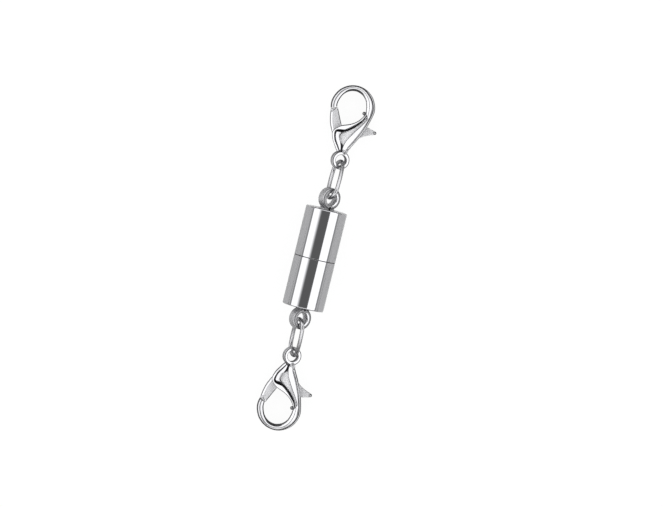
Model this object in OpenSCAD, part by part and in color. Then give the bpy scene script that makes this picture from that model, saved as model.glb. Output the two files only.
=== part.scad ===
// Magnetic clasp for a necklace or bracelet: two magnet-filled barrel halves, and on
// each half a soldered bail, a long jump ring and a lobster claw.
// It lies flat on z = 0, long axis along Y, with the seam between the magnets at y = 0.

/* [Barrel] */
// Diameter of the barrel
barrel_d = 6.2; // [5.6:0.1:6.8]
// Length of the closed barrel, both halves together
barrel_len = 15; // [12:0.1:18]
// Wall of each cup round its magnet
cup_wall = 0.6; // [0.4:0.05:0.9]
// Floor of each cup behind its magnet
cup_floor = 1.2; // [0.8:0.1:2]
// Rounding of the barrel's two outer ends
end_round = 0.35; // [0.2:0.05:0.5]
// Rounding of the two rims that meet at the seam
seam_round = 0.12; // [0.06:0.02:0.2]
// Gap that stays between the closed halves
seam_gap = 0.05; // [0.02:0.01:0.1]
// Gap round each magnet in its cup
magnet_fit = 0.04; // [0.02:0.01:0.08]

/* [Bails] */
// Outer diameter of each bail
bail_d = 3.2; // [3:0.1:3.5]
// Hole through each bail
bail_hole_d = 1.8; // [1.7:0.05:2]
// Thickness of each bail between its faces
bail_t = 1.4; // [1.1:0.05:1.5]
// Gap between each bail's rim and the end of its cup, bridged by the foot
bail_foot = 0.05; // [0.05:0.05:0.5]
// Width of the foot where it leaves the cup
foot_w = 2; // [1.6:0.1:2.4]
// Width of the notch where the bail's two ends meet in the foot
notch_w = 0.3; // [0.2:0.05:0.4]
// Length of that notch
notch_len = 0.45; // [0.3:0.05:0.5]
// Turn of both bails about the long axis, in degrees
bail_turn = 38; // [30:1:44]

/* [Jump rings] */
// Length of each long jump ring, outside
ring_len = 6.5; // [6.3:0.1:7.2]
// Width of each long jump ring, outside
ring_w = 3.4; // [3.2:0.1:3.8]
// Diameter of the ring's wire
wire_d = 0.6; // [0.45:0.05:0.65]
// Turn of both jump rings about the long axis, in degrees
ring_turn = 62; // [60:1:66]
// Slack between each jump ring and the rim of its bail
bail_slack = 0.5; // [0.35:0.05:0.55]
// Slack between each jump ring and the rim of its eyelet
eyelet_slack = 0.35; // [0.3:0.05:0.45]

// How far to the side of the barrel's axis the rings and claws happen to lie
lie_aside = 0.15; // [0:0.05:0.25]

/* [Claws] */
// Length of each claw, from its eyelet to the top of its hook
claw_len = 12.7; // [12:0.1:14]
// Width of each claw across its hook
claw_w = 6.6; // [6.2:0.1:7]
// Thickness of each claw at its body
claw_t = 3; // [2.8:0.1:3.2]
// Width of each claw's back limb
limb_w = 1.4; // [1.2:0.05:1.6]
// Thickness of the web between the limb and the raised rim
web_t = 2.25; // [2:0.05:2.5]
// Outer diameter of each eyelet
eyelet_d = 2.75; // [2.6:0.05:3]
// Hole through each eyelet
eyelet_hole_d = 1.65; // [1.6:0.05:1.8]
// Thickness of each eyelet
eyelet_t = 1; // [0.8:0.05:1.1]
// Turn of both eyelets about the long axis, in degrees
eyelet_turn = 22; // [0:1:30]
// Diameter of the small nub inside each hook
nub_d = 0.55; // [0.4:0.05:0.7]

/* [Levers] */
// Thickness of each lever, gate and thumb tab in one
lever_t = 1.3; // [1.1:0.05:1.4]
// Gap on each side of the lever in its slot
slot_gap = 0.1; // [0.06:0.02:0.14]
// Gap between the closed gate and the hook's tip
gate_gap = 0.1; // [0.05:0.01:0.2]
// Diameter of each hidden pivot pin
pin_d = 0.8; // [0.6:0.05:1]
// Radial running clearance of the lever on its pin
pin_play = 0.04; // [0.02:0.01:0.08]
// Gap round the pin in its blind seats
pin_fit = 0.02; // [0.01:0.01:0.04]
// Depth of the pin's blind seat in each cheek
pin_seat = 0.2; // [0.1:0.05:0.25]
// Diameter of the bead at the end of each thumb tab
bead_d = 0.5; // [0.4:0.05:0.7]
// Reach of each thumb tab from the claw's middle line
thumb_reach = 4.3; // [4.1:0.05:4.8]

/* [Hidden] */
$fn = 48;

// Places along the upper half, measured from the seam, and heights above the floor.
barrel_z = barrel_d / 2;
claw_z = claw_t / 2;
half_len = barrel_len / 2;
bail_y = half_len + bail_foot + bail_d / 2;
bail_rim = (bail_d - bail_hole_d) / 2;
eyelet_rim = (eyelet_d - eyelet_hole_d) / 2;
// The jump ring runs through the middle of both rims that it links, so its slope
// follows from the height that it has to lose between them.
wire_path_len = ring_len - wire_d;
near_reach = wire_d / 2 + bail_slack + bail_rim / 2;
far_reach = wire_d / 2 + eyelet_slack + eyelet_rim / 2;
link_span = wire_path_len - near_reach - far_reach;
ring_slope = asin((barrel_z - claw_z) / link_span);
bail_rim_y = bail_y + (bail_d + bail_hole_d) / 4;
eyelet_y = bail_rim_y + link_span * cos(ring_slope) + (eyelet_d + eyelet_hole_d) / 4;

// The box is centred on x = 0, so the claws stand off it by half of what the thumb tabs
// reach past the hooks, and the barrel by lie_aside less.
claw_mid_x = (claw_w / 2 - thumb_reach) / 2;
barrel_x = claw_mid_x - lie_aside;

// Claw: x runs across it with the thumb tab at +x, y from the eyelet to the hook.
claw_top = claw_len - eyelet_d / 2;
neck_y = (eyelet_d + eyelet_hole_d) / 4;
claw_h = claw_top - neck_y;
hook_y = claw_top - claw_w / 2;
slot_w = lever_t + 2 * slot_gap;

// Hook, round its own centre. Columns: angle, width as a share of limb_w, thickness
// as a share of claw_t.
hook_rows = [
    [208, 0.66, 0.57],
    [185, 0.69, 0.57],
    [165, 0.71, 0.58],
    [140, 0.64, 0.60],
    [115, 0.59, 0.62],
    [90, 0.63, 0.63],
    [65, 0.74, 0.67],
    [40, 0.84, 0.72],
    [15, 0.94, 0.77],
    [-8, 1.00, 0.83],
];
// Back limb, from the hook down to the eyelet. Columns: x as a share of claw_w, y as
// a share of claw_h, width as a share of limb_w, thickness as a share of claw_t.
limb_rows = [
    [0.353, 0.539, 1.06, 0.92],
    [0.295, 0.431, 1.11, 0.98],
    [0.189, 0.261, 1.07, 0.97],
    [0.117, 0.162, 1.00, 0.87],
    [0.026, 0.039, 0.82, 0.63],
    [0.000, 0.000, 0.75, 0.33],
];
// Raised rim, from the limb along the foot of the hook's opening and down the gate
// side to the eyelet. Same columns as the limb.
rim_rows = [
    [0.326, 0.637, 0.36, 0.80],
    [0.273, 0.559, 0.36, 0.90],
    [0.212, 0.495, 0.39, 0.95],
    [0.132, 0.439, 0.41, 0.98],
    [0.041, 0.395, 0.44, 0.99],
    [-0.053, 0.368, 0.44, 1.00],
    [-0.152, 0.361, 0.44, 0.99],
    [-0.239, 0.333, 0.39, 0.98],
    [-0.292, 0.279, 0.36, 0.97],
    [-0.285, 0.225, 0.36, 0.95],
    [-0.242, 0.162, 0.34, 0.88],
    [-0.174, 0.083, 0.34, 0.73],
    [-0.091, 0.015, 0.32, 0.45],
];
// Web between rim and limb. Columns: x and y at the rim, x and y at the limb, and
// thickness as a share of web_t.
web_rows = [
    [0.273, 0.559, 0.348, 0.539, 0.95],
    [0.132, 0.439, 0.295, 0.431, 1.00],
    [-0.053, 0.368, 0.242, 0.343, 1.00],
    [-0.235, 0.333, 0.189, 0.261, 1.00],
    [-0.288, 0.245, 0.152, 0.206, 0.98],
    [-0.242, 0.162, 0.117, 0.162, 0.92],
    [-0.174, 0.083, 0.076, 0.098, 0.75],
    [-0.091, 0.015, 0.026, 0.039, 0.45],
];
// Slot that the lever swings in. Columns: x and y, as shares of claw_w and claw_h.
slot_outline = [
    [-0.606, 0.103], [0.561, 0.103], [0.561, 0.480], [0.417, 0.466], [0.288, 0.431],
    [0.152, 0.402], [0.068, 0.412], [0.068, 0.539], [-0.606, 0.539],
];
// Lever, in the same two columns: the gate's back, the underside of the thumb tab,
// the tab's top and the gate's inner edge.
gate_back = [[-0.476, 0.591], [-0.450, 0.471], [-0.397, 0.353], [-0.280, 0.206]];
tab_under = [[-0.121, 0.147], [0.136, 0.194], [0.288, 0.257], [0.386, 0.304], [0.515, 0.345]];
tab_top = [[0.500, 0.431], [0.417, 0.443], [0.288, 0.409], [0.030, 0.357], [-0.114, 0.361]];
gate_inner = [[-0.155, 0.394], [-0.333, 0.635]];
pin_place = [-0.167, 0.216];
nub_place = [0.275, 0.627];

// Section of the cast rails: a squared oval with this exponent.
section_power = 2.8;
// Rounding of the edges of bails and eyelets, as a share of the rim's width.
eye_round = 0.36;
limb_sides = 14;
rim_sides = 10;
smooth_steps = 3;

function arc(centre, r, from, to, n = 6) =
    [for (i = [0:n]) let (a = from + (to - from) * i / n) centre + r * [cos(a), sin(a)]];

// One point of the smooth curve through four rows, u from 0 to 1 between b and c.
function between(a, b, c, d, u) =
    (2 * b + (c - a) * u + (2 * a - 5 * b + 4 * c - d) * u * u
        + (3 * b - a - 3 * c + d) * u * u * u) / 2;

// Smooth curve through all rows, with the same number of steps between each two.
function smooth(rows, steps = smooth_steps) = let (last = len(rows) - 1) [
    for (i = [0:last - 1], k = [0:steps - 1])
        between(rows[max(i - 1, 0)], rows[i], rows[i + 1], rows[min(i + 2, last)], k / steps),
    rows[last],
];

function claw_x(share) = share * claw_w;
function claw_y(share) = neck_y + share * claw_h;
function claw_points(shares) = [for (p = shares) [claw_x(p.x), claw_y(p.y)]];

// A row of the rails in millimetres: x, y, width, thickness.
function hook_row(row) = let (w = row[1] * limb_w, r = (claw_w - w) / 2)
    [r * cos(row[0]), hook_y + r * sin(row[0]), w, row[2] * claw_t];
function limb_row(row) = [claw_x(row[0]), claw_y(row[1]), row[2] * limb_w, row[3] * claw_t];

function signed_power(v, power) = sign(v) * pow(abs(v), power);

// Section across a rail at row i: across lies in the claw's plane.
function rail_ring(rows, i, sides) =
    let (
        ahead = rows[min(i + 1, len(rows) - 1)],
        back = rows[max(i - 1, 0)],
        along = [ahead.x - back.x, ahead.y - back.y],
        across = [-along.y, along.x] / norm(along),
        row = rows[i]
    )
    [for (k = [0:sides - 1])
        let (
            a = 360 * (k + 0.5) / sides,
            u = signed_power(cos(a), 2 / section_power) * row[2] / 2,
            v = signed_power(sin(a), 2 / section_power) * row[3] / 2
        )
        [row.x + across.x * u, row.y + across.y * u, v]];

// Closed skin over a list of rings that have the same number of points.
module skin(rings) {
    n = len(rings[0]);
    last = len(rings) - 1;
    points = [for (ring = rings) each ring];
    sides = [
        for (i = [0:last - 1], k = [0:n - 1])
            let (a = i * n + k, b = i * n + (k + 1) % n)
                each [[a, b + n, b], [a, a + n, b + n]],
    ];
    near_cap = [[for (k = [0:n - 1]) k]];
    far_cap = [[for (k = [0:n - 1]) last * n + n - 1 - k]];
    polyhedron(points, concat(sides, near_cap, far_cap));
}

module rail(rows, sides) {
    skin([for (i = [0:len(rows) - 1]) rail_ring(rows, i, sides)]);
}

// Ring with rounded rims, its hole along z.
module eye(d, hole_d, t) {
    r = eye_round * (d - hole_d) / 2;
    x0 = hole_d / 2;
    x1 = d / 2;
    z = t / 2;
    rotate_extrude()
        polygon(concat(
            arc([x1 - r, z - r], r, 0, 90),
            arc([x0 + r, z - r], r, 90, 180),
            arc([x0 + r, r - z], r, 180, 270),
            arc([x1 - r, r - z], r, 270, 360)
        ));
}

// Foot of the bail: it narrows from the cup into the rim, with a notch at the cup.
module bail_foot_block() {
    foot_t = bail_t * 0.9;
    root_y = half_len - end_round;
    bend_y = half_len + bail_foot * 0.3;
    rim_y = bail_y - bail_d * 0.3;
    root_x = foot_w / 2;
    rim_x = foot_w * 0.4;
    linear_extrude(height = foot_t, center = true)
        difference() {
            polygon([
                [-root_x, root_y], [root_x, root_y], [root_x, bend_y],
                [rim_x, rim_y], [-rim_x, rim_y], [-root_x, bend_y],
            ]);
            translate([-notch_w / 2, half_len])
                square([notch_w, notch_len + bail_foot]);
        }
}

// Cup of the upper half: closed outer end, open seam end, and the bail on its foot.
module barrel_half() {
    r = barrel_d / 2;
    bore_r = r - cup_wall;
    seam_y = seam_gap / 2;
    floor_y = half_len - cup_floor;
    translate([0, 0, barrel_z]) {
        rotate([-90, 0, 0])
            rotate_extrude()
                polygon(concat(
                    [[0, half_len]],
                    arc([r - end_round, half_len - end_round], end_round, 90, 0),
                    arc([r - seam_round, seam_y + seam_round], seam_round, 0, -90),
                    [[bore_r, seam_y], [bore_r, floor_y], [0, floor_y]]
                ));
        rotate([0, bail_turn, 0]) {
            bail_foot_block();
            difference() {
                translate([0, bail_y, 0])
                    eye(bail_d, bail_hole_d, bail_t);
                translate([-notch_w / 2, half_len, -bail_t])
                    cube([notch_w, notch_len + bail_foot, 2 * bail_t]);
            }
        }
    }
}

module magnet() {
    r = barrel_d / 2 - cup_wall - magnet_fit;
    seam_y = seam_gap / 2 + magnet_fit;
    translate([0, seam_y, barrel_z])
        rotate([-90, 0, 0])
            cylinder(h = half_len - cup_floor - magnet_fit - seam_y, r = r);
}

// Long ring of round wire: two half circles joined by straight sides.
module long_ring() {
    end_r = (ring_w - wire_d) / 2;
    rise = wire_path_len / 2 - end_r;
    for (s = [1, -1]) {
        translate([0, s * rise, 0])
            rotate([0, 0, s * 90 - 90])
                rotate_extrude(angle = 180)
                    translate([end_r, 0])
                        circle(d = wire_d);
        translate([s * end_r, -rise, 0])
            rotate([-90, 0, 0])
                cylinder(h = 2 * rise, d = wire_d);
    }
}

module jump_ring() {
    translate([0, bail_rim_y, barrel_z])
        rotate([-ring_slope, 0, 0])
            rotate([0, -ring_turn, 0])
                translate([0, wire_path_len / 2 - near_reach, 0])
                    long_ring();
}

// Half of the web above the slot or below it, as a strip with four corners a row.
function web_ring(row) =
    let (z = row[4] * web_t / 2, a = claw_points([[row[0], row[1]]])[0],
        b = claw_points([[row[2], row[3]]])[0])
    [[a.x, a.y, -z], [b.x, b.y, -z], [b.x, b.y, z], [a.x, a.y, z]];

// Everything beyond the gate's top edge, and gate_gap past it, belongs to the hook.
module gate_side() {
    left = claw_points([gate_back[0]])[0];
    right = claw_points([gate_inner[1]])[0];
    lean = (right.y - left.y) / (right.x - left.x);
    x0 = -0.7 * claw_w;
    x1 = -0.2 * claw_w;
    rim_top_y = claw_y(0.44);
    linear_extrude(height = 2 * claw_t, center = true)
        polygon([
            [x0, rim_top_y],
            [x1, rim_top_y],
            [x1, left.y + gate_gap + lean * (x1 - left.x)],
            [x0, left.y + gate_gap + lean * (x0 - left.x)],
        ]);
}

module claw_casting() {
    rail(smooth(concat([for (row = hook_rows) hook_row(row)],
        [for (row = limb_rows) limb_row(row)])), limb_sides);
    rail(smooth([for (row = rim_rows) limb_row(row)], 2), rim_sides);
    skin([for (row = web_rows) web_ring(row)]);
    rotate([0, eyelet_turn, 0])
        eye(eyelet_d, eyelet_hole_d, eyelet_t);
    translate([claw_x(nub_place.x), claw_y(nub_place.y), 0])
        sphere(d = nub_d, $fn = 16);
}

module claw_body() {
    difference() {
        claw_casting();
        gate_side();
        linear_extrude(height = slot_w, center = true)
            polygon(claw_points(slot_outline));
        translate([claw_x(pin_place.x), claw_y(pin_place.y), 0])
            cylinder(h = slot_w + 2 * pin_seat, d = pin_d + 2 * pin_fit, center = true);
    }
}

module claw_lever() {
    tip_x = thumb_reach - bead_d / 2;
    tip_y = claw_y(0.39);
    difference() {
        union() {
            linear_extrude(height = lever_t, center = true)
                polygon(concat(
                    claw_points(smooth(gate_back)),
                    claw_points(smooth(tab_under)),
                    [[tip_x, tip_y - bead_d / 2], [tip_x, tip_y + bead_d / 2]],
                    claw_points(smooth(tab_top, 2)),
                    claw_points(gate_inner)
                ));
            translate([tip_x, tip_y, 0])
                cylinder(h = lever_t + bead_d, d = bead_d, center = true);
        }
        translate([claw_x(pin_place.x), claw_y(pin_place.y), 0])
            cylinder(h = claw_t, d = pin_d + 2 * pin_play, center = true);
    }
}

module claw_pin() {
    translate([claw_x(pin_place.x), claw_y(pin_place.y), 0])
        cylinder(h = slot_w + 2 * pin_seat - 2 * pin_fit, d = pin_d, center = true);
}

// The lower half is the upper one turned end for end: x is the place of a piece's
// own middle line.
module half(upper, x) {
    translate([x, 0, 0])
        mirror([0, upper ? 0 : 1, 0])
            children();
}

// A claw lies flat on the surface, its eyelet linked by the jump ring.
module claw_half(upper) {
    half(upper, claw_mid_x)
        translate([0, eyelet_y, claw_z])
            children();
}

module barrel_lower() { color("silver") half(false, barrel_x) barrel_half(); }
module barrel_upper() { color("silver") half(true, barrel_x) barrel_half(); }
module magnet_lower() { color("dimgray") half(false, barrel_x) magnet(); }
module magnet_upper() { color("dimgray") half(true, barrel_x) magnet(); }
module jump_ring_lower() { color("lightgray") half(false, claw_mid_x) jump_ring(); }
module jump_ring_upper() { color("lightgray") half(true, claw_mid_x) jump_ring(); }
module claw_body_lower() { color("silver") claw_half(false) claw_body(); }
module claw_body_upper() { color("silver") claw_half(true) claw_body(); }
module claw_lever_lower() { color("darkgray") claw_half(false) claw_lever(); }
module claw_lever_upper() { color("darkgray") claw_half(true) claw_lever(); }
module claw_pin_lower() { color("gray") claw_half(false) claw_pin(); }
module claw_pin_upper() { color("gray") claw_half(true) claw_pin(); }

barrel_lower();
barrel_upper();
magnet_lower();
magnet_upper();
jump_ring_lower();
jump_ring_upper();
claw_body_lower();
claw_body_upper();
claw_lever_lower();
claw_lever_upper();
claw_pin_lower();
claw_pin_upper();
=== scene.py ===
import math

import bmesh
import bpy
import numpy as np
from mathutils import Matrix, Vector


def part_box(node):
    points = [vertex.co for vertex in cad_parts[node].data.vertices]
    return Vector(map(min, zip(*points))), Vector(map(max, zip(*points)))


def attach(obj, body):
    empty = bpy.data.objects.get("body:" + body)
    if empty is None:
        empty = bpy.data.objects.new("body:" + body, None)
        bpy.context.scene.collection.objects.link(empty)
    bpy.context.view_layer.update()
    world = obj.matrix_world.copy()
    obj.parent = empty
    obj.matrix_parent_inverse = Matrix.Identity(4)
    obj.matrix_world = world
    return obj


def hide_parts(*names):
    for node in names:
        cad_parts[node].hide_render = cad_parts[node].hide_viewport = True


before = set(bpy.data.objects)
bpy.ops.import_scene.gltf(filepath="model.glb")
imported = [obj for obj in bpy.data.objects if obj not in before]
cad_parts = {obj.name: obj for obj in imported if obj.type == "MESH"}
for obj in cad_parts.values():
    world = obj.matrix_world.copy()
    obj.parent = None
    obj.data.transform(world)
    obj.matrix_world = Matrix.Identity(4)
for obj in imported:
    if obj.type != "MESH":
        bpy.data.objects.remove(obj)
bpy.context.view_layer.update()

bl_info = {
    "name": "Magnetic clasp",
    "version": (1, 0, 0),
    "blender": (4, 5, 0),
    "location": "View3D > Sidebar > Clasp",
    "description": "Dresses the packed frame of a magnetic clasp in plated metal",
    "category": "Object",
}

MM = 0.001
SIDES = {"upper": 1.0, "lower": -1.0}
BAIL_TURN_DEG, RING_TURN_DEG, EYELET_TURN_DEG = 38, 62, 22


# Places read from the frame, in millimetres.


def node_box(name):
    """Lowest and highest corner of a CAD node in millimetres, as two arrays."""
    low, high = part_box(name)
    return np.array(low) / MM, np.array(high) / MM


BARREL_LOW, BARREL_HIGH = node_box("barrel_upper")
CLAW_LOW, CLAW_HIGH = node_box("claw_body_upper")
MAGNET_LOW, MAGNET_HIGH = node_box("magnet_upper")
PIN_LOW, PIN_HIGH = node_box("claw_pin_upper")
BARREL_X = (BARREL_LOW[0] + BARREL_HIGH[0]) / 2
BARREL_R = (BARREL_HIGH[0] - BARREL_LOW[0]) / 2
BARREL_Z = (BARREL_LOW[2] + BARREL_HIGH[2]) / 2
CLAW_Z = (CLAW_LOW[2] + CLAW_HIGH[2]) / 2
# The eyelet's centre stands a little to the right of the middle of the claw's box.
EYELET_ASIDE = 0.011
EYELET_X = (CLAW_LOW[0] + CLAW_HIGH[0]) / 2 + EYELET_ASIDE


# Sizes and finishes that a user would change.


def to_linear(code):
    """A colour written as sRGB hex, such as "A0A0A2", in linear light with alpha 1."""
    srgb = np.array([int(code[i:i + 2], 16) for i in (0, 2, 4)]) / 255
    linear = np.where(srgb <= 0.04045, srgb / 12.92, ((srgb + 0.055) / 1.055) ** 2.4)
    return (*linear.tolist(), 1.0)


def size_prop(name, description, millimetres):
    """A property for a length, with its default given in millimetres."""
    return bpy.props.FloatProperty(
        name=name, description=description, default=millimetres * MM, min=0.0,
        unit="LENGTH", precision=5,
    )


def colour_prop(name, description, code):
    """A property for a colour, with its default given as sRGB hex."""
    return bpy.props.FloatVectorProperty(
        name=name, description=description, default=to_linear(code), size=4,
        min=0.0, max=1.0, subtype="COLOR",
    )


class ClaspSizes(bpy.types.PropertyGroup):
    """Sizes of the clasp's pieces."""

    half_length: size_prop("Half length", "From the seam to a barrel half's closed end", 7.5)
    seam_gap: size_prop("Seam gap", "Gap between the closed halves", 0.05)
    seam_round: size_prop("Seam rounding", "Rounding of the rims at the seam", 0.06)
    end_round: size_prop("End rounding", "Rounding of the barrel's closed ends", 0.2)
    cup_wall: size_prop("Cup wall", "Wall of each cup round its magnet", 0.6)
    cup_floor: size_prop("Cup floor", "Floor of each cup behind its magnet", 1.2)
    bail_diameter: size_prop("Bail diameter", "Outer diameter of each bail", 3.2)
    bail_hole: size_prop("Bail hole", "Hole through each bail", 1.8)
    bail_thickness: size_prop("Bail thickness", "Thickness of each bail", 1.4)
    bail_gap: size_prop("Bail gap", "Gap between bail and cup that the foot bridges", 0.05)
    foot_width: size_prop("Foot width", "Width of the bail's foot at the cup", 2.0)
    notch_width: size_prop("Notch width", "Notch where the bail's two ends meet", 0.3)
    ring_length: size_prop("Ring length", "Length of each jump ring, outside", 6.5)
    ring_width: size_prop("Ring width", "Width of each jump ring, outside", 3.4)
    ring_end: size_prop("Ring end radius", "Radius of each jump ring's round ends", 1.28)
    wire: size_prop("Wire", "Diameter of the jump rings' wire", 0.6)
    bail_slack: size_prop("Bail slack", "Slack between jump ring and bail rim", 0.5)
    eyelet_slack: size_prop("Eyelet slack", "Slack between jump ring and eyelet rim", 0.35)
    claw_length: size_prop("Claw length", "Length of each claw", 12.7)
    claw_width: size_prop("Claw width", "Width of each claw across its hook", 6.6)
    claw_thickness: size_prop("Claw thickness", "Thickness of each claw at its rim", 3.0)
    eyelet_diameter: size_prop("Eyelet diameter", "Outer diameter of each eyelet", 2.75)
    eyelet_hole: size_prop("Eyelet hole", "Hole through each eyelet", 1.65)
    eyelet_thickness: size_prop("Eyelet thickness", "Thickness of each eyelet", 1.0)
    groove_edge: size_prop("Edge rounding", "Easing of the casting's edges", 0.045)
    lever_thickness: size_prop("Lever thickness", "Thickness of each lever", 1.3)
    slot_gap: size_prop("Slot gap", "Gap on each side of the lever in its slot", 0.1)
    pin_seat: size_prop("Pin seat", "Depth of each pin's seats in the claw's cheeks", 0.05)
    pin_fit: size_prop("Pin fit", "Gap round each pin in its seats", 0.02)
    pin_play: size_prop("Pin play", "Gap round each pin in its lever's bore", 0.04)
    bead: size_prop("Bead", "Diameter of the bead that ends each thumb tab", 0.5)
    nub: size_prop("Nub", "Diameter of the nub inside each hook", 0.55)


class ClaspFinishes(bpy.types.PropertyGroup):
    """Colours of the clasp's finishes."""

    plate: colour_prop("Bright plate", "Polished plating of barrels, rings and claws", "A9A9AB")
    wire: colour_prop("Wire plate", "Plating of the jump rings' wire", "9C9C9E")
    satin: colour_prop("Satin plate", "Plating where the polishing wheel misses", "D0D0D2")
    lever: colour_prop("Lever plate", "Streaky plating of the levers", "BCBCBE")
    # Painted shade: the groove colour is painted into grooves, cuts, the seam and along edges,
    # where shade and dark reflections fall.
    groove: colour_prop("Groove", "Tarnish kept in the claws' grooves", "2E2E30")
    magnet: colour_prop("Magnet plate", "Nickel plating of the magnets", "9A9894")
    pin: colour_prop("Pin", "Drawn steel wire of the pivot pins", "8E8E90")


def size(name):
    """A size in millimetres."""
    return getattr(bpy.context.scene.clasp_sizes, name) / MM


def finish_colour(name):
    """A finish's colour in linear light."""
    return tuple(getattr(bpy.context.scene.clasp_finishes, name))


# Surfaces worked out with numpy.

# Points of each rounded corner, points for each row of a table, steps round a turned
# ring and its corners' rounding, and the radius of the small flat that closes a turned
# piece at its axis, in millimetres.
EASE_STEPS = 4
ROW_STEPS = 10
RING_STEPS = 160
RING_EASE = 0.05
AXIS_FLAT = 0.02


def smooth_rows(rows, steps):
    """Smooth curve through the rows of a table. Between rows b and c, with a before them
    and d after, and u from 0 to 1, it is (2b + (c - a)u + (2a - 5b + 4c - d)uu
    + (3b - a - 3c + d)uuu) / 2, with the first and last row repeated at the ends."""
    rows = np.asarray(rows, float)
    count = len(rows) - 1
    padded = np.vstack([rows[:1], rows, rows[-1:]])
    a, b, c, d = (padded[i:i + count, None, :] for i in range(4))
    u = np.linspace(0, 1, steps, endpoint=False)[None, :, None]
    curve = (2 * b + (c - a) * u + (2 * a - 5 * b + 4 * c - d) * u ** 2
             + (3 * b - a - 3 * c + d) * u ** 3) / 2
    return np.vstack([curve.reshape(-1, rows.shape[1]), rows[-1:]])


def soft_step(value, low, high):
    """0 below low, 1 above high, and 3uu - 2uuu between."""
    u = np.clip((value - low) / (high - low), 0, 1)
    return u * u * (3 - 2 * u)


def even_loop(corners, spacing):
    """Points along a closed outline of corners, about spacing apart, corners kept."""
    corners = np.asarray(corners, float)
    ahead = np.roll(corners, -1, axis=0)
    counts = np.maximum(np.ceil(np.linalg.norm(ahead - corners, axis=1) / spacing), 1)
    parts = [a + (b - a) * np.linspace(0, 1, int(n), endpoint=False)[:, None]
             for a, b, n in zip(corners, ahead, counts)]
    return np.vstack(parts)


def grid_faces(rows, columns, close_rows):
    """Quads of a grid of points as an array of four columns. Each row closes on itself,
    and the last row joins the first where close_rows is set."""
    i = np.arange(rows if close_rows else rows - 1)
    i, k = (g.ravel() for g in np.meshgrid(i, np.arange(columns), indexing="ij"))
    i1, k1 = (i + 1) % rows, (k + 1) % columns
    return np.stack([i * columns + k, i1 * columns + k, i1 * columns + k1, i * columns + k1], 1)


def shell(points, close_rows=False):
    """Closed shell over a grid of points whose rows are rings: (vertices, faces). Open
    ends are closed with one flat face each."""
    rows, columns, _ = points.shape
    faces = grid_faces(rows, columns, close_rows).tolist()
    if not close_rows:
        first = np.arange(columns)
        faces += [first.tolist(), (first[::-1] + (rows - 1) * columns).tolist()]
    return points.reshape(-1, 3), faces


def outwards(vertices, faces):
    """The same shell with its faces pointing outwards: they are turned where the volume,
    the sum of corner . (next x next) over a fan of triangles, is negative."""
    volume = 0.0
    for count in {len(face) for face in faces}:
        corners = vertices[np.array([face for face in faces if len(face) == count])]
        first = corners[:, :1]
        turn = np.cross(corners[:, 1:-1] - first, corners[:, 2:] - first)
        volume += np.einsum("ijk,ijk->", np.broadcast_to(first, turn.shape), turn)
    return (vertices, faces) if volume > 0 else (vertices, [face[::-1] for face in faces])


def make_object(name, shells):
    """A mesh object from shells in millimetres, each closed and turned outwards."""
    all_vertices, all_faces, start = [], [], 0
    for vertices, faces in shells:
        vertices, faces = outwards(vertices, faces)
        all_vertices.append(vertices)
        all_faces += [[i + start for i in face] for face in faces]
        start += len(vertices)
    mesh = bpy.data.meshes.new(name)
    mesh.from_pydata((np.vstack(all_vertices) * MM).tolist(), [], all_faces)
    mesh.update()
    made = bpy.data.objects.new(name, mesh)
    bpy.context.scene.collection.objects.link(made)
    return made


def write_shares(made, *shares):
    """Keeps at the corners of the faces, for each vertex, how dark it is painted, as shade in
    grooves and along edges (the groove attribute), and then how satin it is: numbers from 0 to
    1."""
    corners = np.empty(len(made.data.loops), int)
    made.data.loops.foreach_get("vertex_index", corners)
    for name, share in zip(("groove", "satin"), shares):
        layer = made.data.attributes.new(name, "FLOAT", "CORNER")
        layer.data.foreach_set("value", np.asarray(share, np.float32)[corners])


def coordinates(mesh):
    """The mesh's points as rows of x, y and z."""
    flat = np.empty(len(mesh.vertices) * 3)
    mesh.vertices.foreach_get("co", flat)
    return flat.reshape(-1, 3)


def set_coordinates(mesh, points):
    """Puts the mesh's points there."""
    mesh.vertices.foreach_set("co", np.ascontiguousarray(points).ravel())
    mesh.update()


def modified(made, kind, **settings):
    """Adds a modifier, takes its result as the object's mesh and removes it."""
    modifier = made.modifiers.new(kind.title(), kind)
    for name, value in settings.items():
        setattr(modifier, name, value)
    result = bpy.data.meshes.new_from_object(
        made.evaluated_get(bpy.context.evaluated_depsgraph_get()))
    made.modifiers.clear()
    old = made.data
    made.data = result
    result.name = made.name
    bpy.data.meshes.remove(old)
    return made


def cut(made, outline, height, dark=0.0, lift=0.0):
    """Cuts away a prism over an outline, height thick about the plane z = lift. The walls
    that it leaves are painted dark by the share dark, as shade inside the cut."""
    outline = np.asarray(outline, float)
    ends = np.array([-height / 2, height / 2]) + lift
    points = np.concatenate([
        np.broadcast_to(outline, (2, *outline.shape)),
        np.broadcast_to(ends[:, None, None], (2, len(outline), 1)),
    ], axis=2)
    cutter = make_object("cutter", [shell(points)])
    write_shares(cutter, np.full(points.size // 3, dark))
    return joined(made, cutter, "DIFFERENCE")


def joined(made, other, operation="UNION"):
    """The object with the other one joined to it or cut from it. The other one goes."""
    modified(made, "BOOLEAN", operation=operation, object=other, solver="MANIFOLD")
    bpy.data.objects.remove(other)
    return made


def without_idle_points(made):
    """Takes out the points with only two edges, which the cuts and unions leave in the
    middle of straight edges: triangles without area would come of them."""
    ends = np.empty(len(made.data.edges) * 2, int)
    made.data.edges.foreach_get("vertices", ends)
    idle = np.flatnonzero(np.bincount(ends) == 2)
    mesh = bmesh.new()
    mesh.from_mesh(made.data)
    mesh.verts.ensure_lookup_table()
    bmesh.ops.dissolve_verts(mesh, verts=[mesh.verts[i] for i in idle])
    mesh.to_mesh(made.data)
    mesh.free()
    return made


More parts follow.
